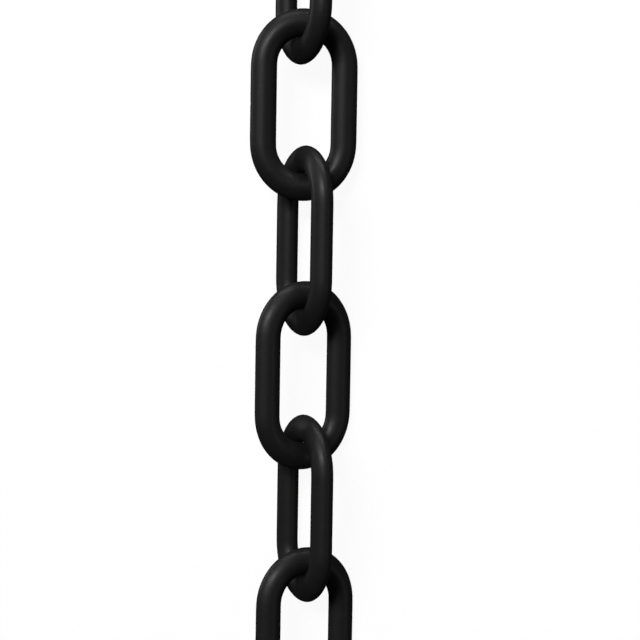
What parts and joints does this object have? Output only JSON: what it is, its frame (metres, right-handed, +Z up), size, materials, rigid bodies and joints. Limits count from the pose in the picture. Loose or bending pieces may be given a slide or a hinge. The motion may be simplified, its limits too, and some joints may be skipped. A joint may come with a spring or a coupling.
{
  "type": "length of plastic chain",
  "caption": "Straight length of moulded plastic chain: closed oval links through each other at right angles, for barriers and hanging light loads.",
  "frame": {"origin": "on the floor under the middle of the chain", "axes": "+Y along the chain towards link_1, +Z up, +X to the right when looking along +Y"},
  "size_m": [0.0262, 0.3028, 0.0225],
  "materials": {
    "link_plastic": "satin moulded black"
  },
  "bodies": {
    "link_1": {"link_1": "link_plastic"},
    "link_2": {"link_2": "link_plastic"},
    "link_3": {"link_3": "link_plastic"},
    "link_4": {"link_4": "link_plastic"},
    "link_5": {"link_5": "link_plastic"},
    "link_6": {"link_6": "link_plastic"},
    "link_7": {"link_7": "link_plastic"},
    "link_8": {"link_8": "link_plastic"}
  },
  "joints": [
    {"name": "link_2_swing", "type": "hinge", "parent": "link_1", "child": "link_2", "pos_m": [-0.00038, 0.10423, 0.01073], "axis": [0.707, -0.0123, -0.7071], "range_deg": [-120, 120]},
    {"name": "link_3_swing", "type": "hinge", "parent": "link_2", "child": "link_3", "pos_m": [-0.00038, 0.06823, 0.01073], "axis": [0.707, -0.0123, 0.7071], "range_deg": [-120, 120]},
    {"name": "link_4_swing", "type": "hinge", "parent": "link_3", "child": "link_4", "pos_m": [-0.00038, 0.03223, 0.01073], "axis": [-0.8828, 0.0154, 0.4695], "range_deg": [-120, 120]},
    {"name": "link_5_swing", "type": "hinge", "parent": "link_4", "child": "link_5", "pos_m": [-0.00038, -0.00377, 0.01073], "axis": [-0.707, 0.0123, -0.7071], "range_deg": [-120, 120]},
    {"name": "link_6_swing", "type": "hinge", "parent": "link_5", "child": "link_6", "pos_m": [-0.00038, -0.03977, 0.01126], "axis": [0.6625, -0.0116, -0.749], "range_deg": [-120, 120]},
    {"name": "link_7_swing", "type": "hinge", "parent": "link_6", "child": "link_7", "pos_m": [-0.00038, -0.07577, 0.01073], "axis": [0.707, -0.0123, 0.7071], "range_deg": [-120, 120]},
    {"name": "link_8_swing", "type": "hinge", "parent": "link_7", "child": "link_8", "pos_m": [-0.00038, -0.11177, 0.01073], "axis": [-0.707, 0.0123, 0.7071], "range_deg": [-120, 120]}
  ]
}
